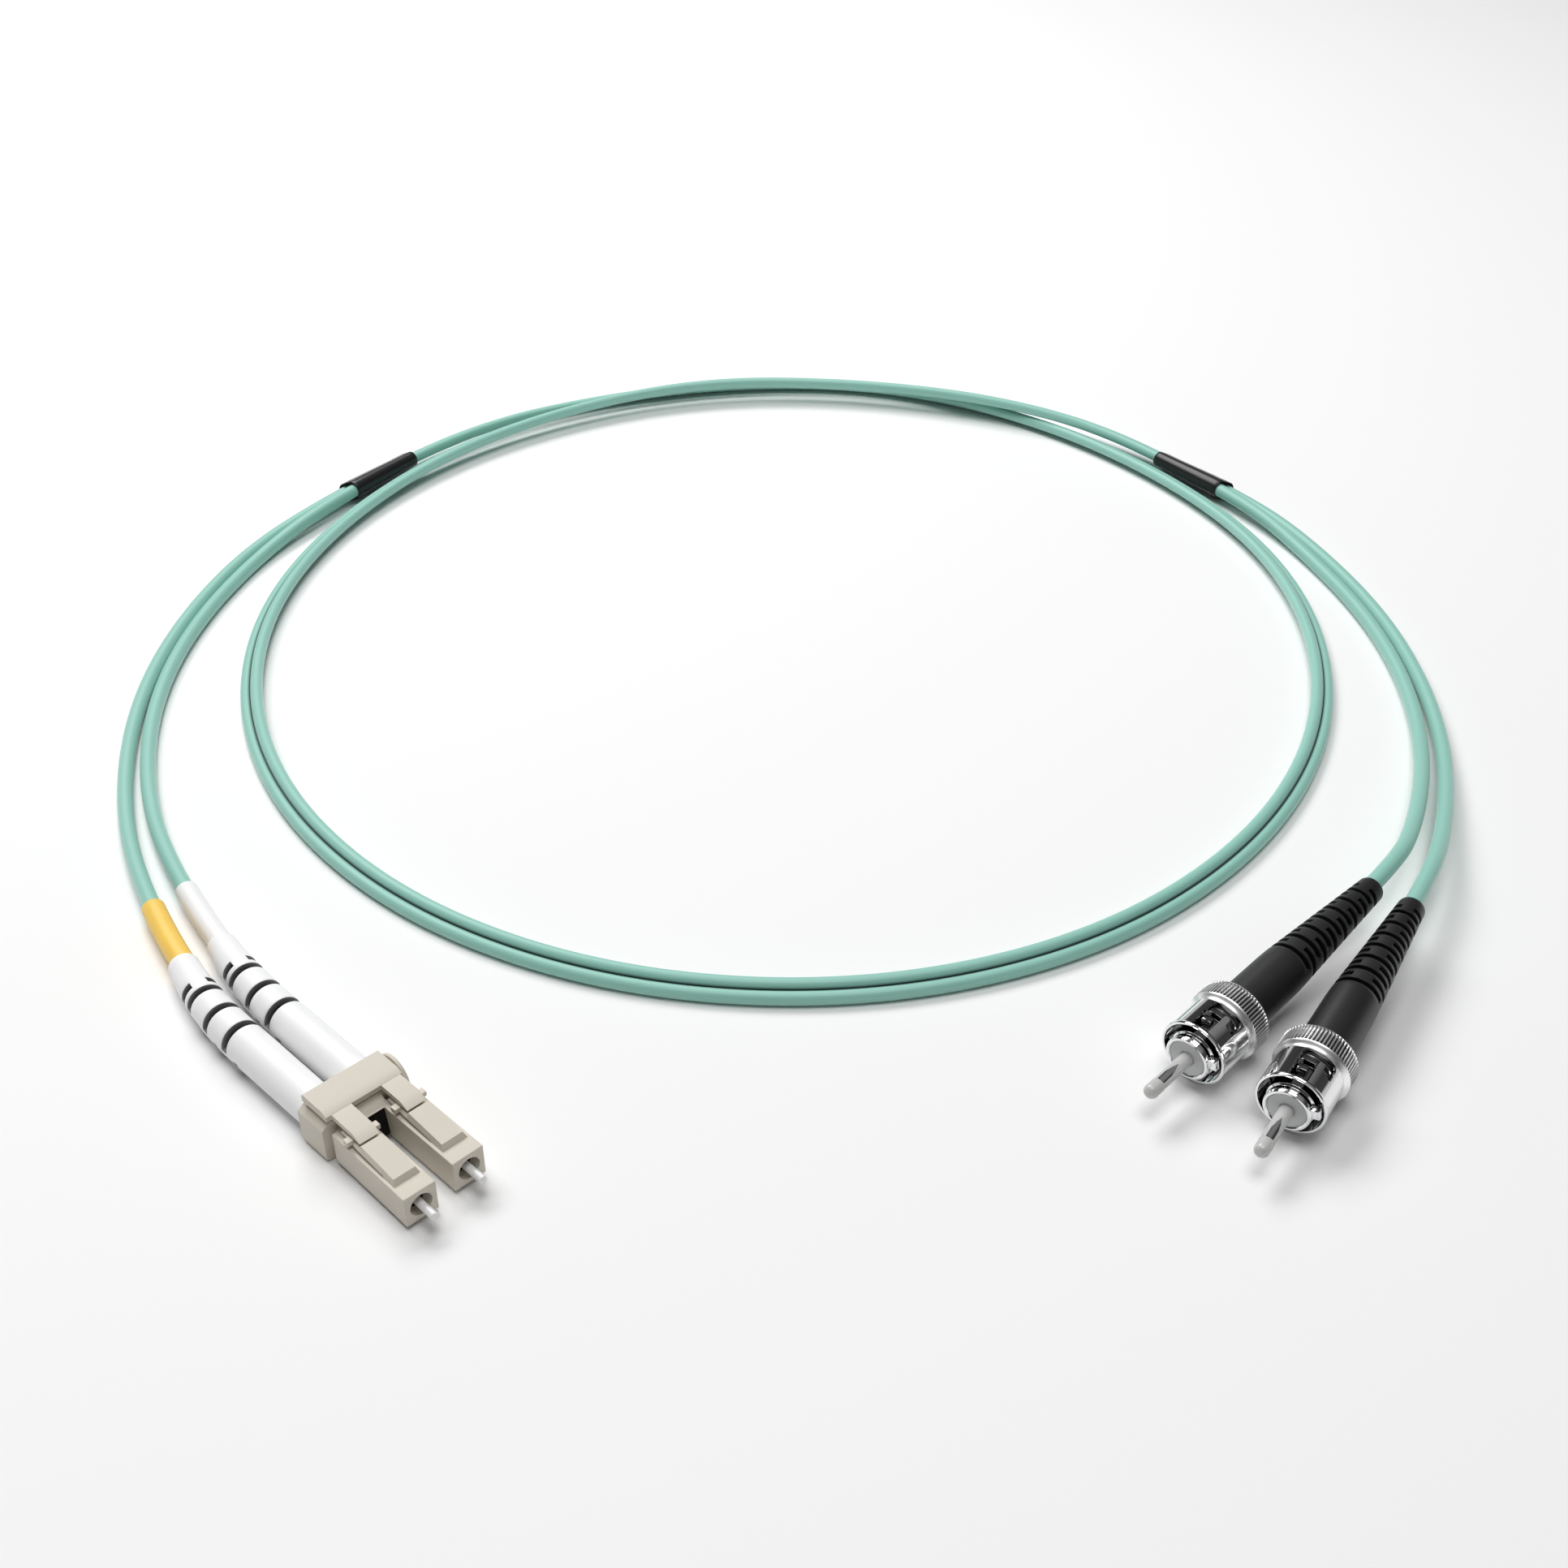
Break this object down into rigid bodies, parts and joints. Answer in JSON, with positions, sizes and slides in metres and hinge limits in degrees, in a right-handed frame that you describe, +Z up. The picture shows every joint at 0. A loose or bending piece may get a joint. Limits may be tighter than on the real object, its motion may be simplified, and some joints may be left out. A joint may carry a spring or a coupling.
{
  "type": "duplex fibre patch cord",
  "caption": "Looped duplex fibre patch cord with a clipped pair of small square connectors at one end and a pair of bayonet connectors at the other.",
  "frame": {"origin": "middle of the connectors, boots and clip seen from above, on the floor", "axes": "+X to the right of the picture, from the square connectors to the bayonet connectors; +Y away from the viewer, towards the back of the loop; +Z up"},
  "size_m": [0.2111, 0.2395, 0.0101],
  "materials": {
    "cord_jacket": "satin",
    "heat_shrink": "satin",
    "cream_plastic": "fine matt",
    "white_boot": "satin",
    "yellow_sleeve": "satin",
    "white_sleeve": "satin",
    "ceramic": "polished",
    "nickel": "bright",
    "grey_holder": "matt",
    "black_boot": "satin",
    "spring_steel": "drawn wire",
    "brass_ring": "turned"
  },
  "bodies": {
    "cord_assembly": {"duplex_clip": "cream_plastic", "duplex_cord": "cord_jacket", "heat_shrink_lc": "heat_shrink", "heat_shrink_st": "heat_shrink", "lc_backbone_a": "cream_plastic", "lc_backbone_b": "cream_plastic", "lc_boot_a": "white_boot", "lc_boot_b": "white_boot", "lc_crimp_ring_a": "brass_ring", "lc_crimp_ring_b": "brass_ring", "lc_housing_a": "cream_plastic", "lc_housing_b": "cream_plastic", "lc_sleeve_white": "white_sleeve", "lc_sleeve_yellow": "yellow_sleeve", "lc_spring_a": "spring_steel", "lc_spring_b": "spring_steel", "leg_a": "cord_jacket", "leg_b": "cord_jacket", "leg_c": "cord_jacket", "leg_d": "cord_jacket", "st_body_c": "nickel", "st_body_d": "nickel", "st_boot_c": "black_boot", "st_boot_d": "black_boot", "st_crimp_sleeve_c": "nickel", "st_crimp_sleeve_d": "nickel", "st_ferrule_c": "ceramic", "st_ferrule_d": "ceramic", "st_holder_c": "grey_holder", "st_holder_d": "grey_holder", "st_retaining_ring_c": "nickel", "st_retaining_ring_d": "nickel", "st_spring_c": "spring_steel", "st_spring_d": "spring_steel"},
    "ferrule_a": {"lc_ferrule_a": "ceramic", "lc_ferrule_flange_a": "nickel"},
    "latch_a": {"lc_latch_a": "cream_plastic"},
    "ferrule_b": {"lc_ferrule_b": "ceramic", "lc_ferrule_flange_b": "nickel"},
    "latch_b": {"lc_latch_b": "cream_plastic"},
    "trigger": {"clip_trigger": "cream_plastic"},
    "carriage_c": {"st_thrust_washer_c": "nickel"},
    "nut_c": {"st_nut_c": "nickel"},
    "carriage_d": {"st_thrust_washer_d": "nickel"},
    "nut_d": {"st_nut_d": "nickel"}
  },
  "joints": [
    {"name": "ferrule_float_a", "type": "slide", "parent": "cord_assembly", "child": "ferrule_a", "axis": [-0.7071, 0.7071, 0], "range_m": [0, 0.001], "stiffness_N_per_m": 600, "springref_m": -0.008, "deforming": ["lc_spring_a"]},
    {"name": "latch_lever_a", "type": "hinge", "parent": "cord_assembly", "child": "latch_a", "pos_m": [-0.04707, -0.02264, 0.00507], "axis": [0.7071, 0.7071, 0], "range_deg": [-1.9, 0]},
    {"name": "ferrule_float_b", "type": "slide", "parent": "cord_assembly", "child": "ferrule_b", "axis": [-0.7071, 0.7071, 0], "range_m": [0, 0.001], "stiffness_N_per_m": 600, "springref_m": -0.008, "deforming": ["lc_spring_b"]},
    {"name": "latch_lever_b", "type": "hinge", "parent": "cord_assembly", "child": "latch_b", "pos_m": [-0.04266, -0.01823, 0.00507], "axis": [0.7071, 0.7071, 0], "range_deg": [-1.9, 0]},
    {"name": "trigger_press", "type": "hinge", "parent": "cord_assembly", "child": "trigger", "pos_m": [-0.05597, -0.00933, 0.00637], "axis": [0.7071, 0.7071, 0], "range_deg": [0, 2.8], "stiffness_Nm_per_rad": 0.01},
    {"name": "nut_pull_c", "type": "slide", "parent": "cord_assembly", "child": "carriage_c", "axis": [-0.6928, -0.7199, -0.0419], "range_m": [0, 0.0012], "stiffness_N_per_m": 1500, "springref_m": -0.004, "deforming": ["st_spring_c"]},
    {"name": "nut_turn_c", "type": "hinge", "parent": "carriage_c", "child": "nut_c", "pos_m": [0.04855, -0.0035, 0.00472], "axis": [-0.6928, -0.7199, -0.0419], "continuous": true},
    {"name": "nut_pull_d", "type": "slide", "parent": "cord_assembly", "child": "carriage_d", "axis": [-0.5558, -0.8303, -0.0419], "range_m": [0, 0.0012], "stiffness_N_per_m": 1500, "springref_m": -0.004, "deforming": ["st_spring_d"]},
    {"name": "nut_turn_d", "type": "hinge", "parent": "carriage_d", "child": "nut_d", "pos_m": [0.0588, -0.01235, 0.00472], "axis": [-0.5558, -0.8303, -0.0419], "continuous": true}
  ],
  "couplings": [
    {"joint": "latch_lever_a", "follows": "trigger_press", "ratio": -0.66},
    {"joint": "latch_lever_b", "follows": "trigger_press", "ratio": -0.66}
  ]
}
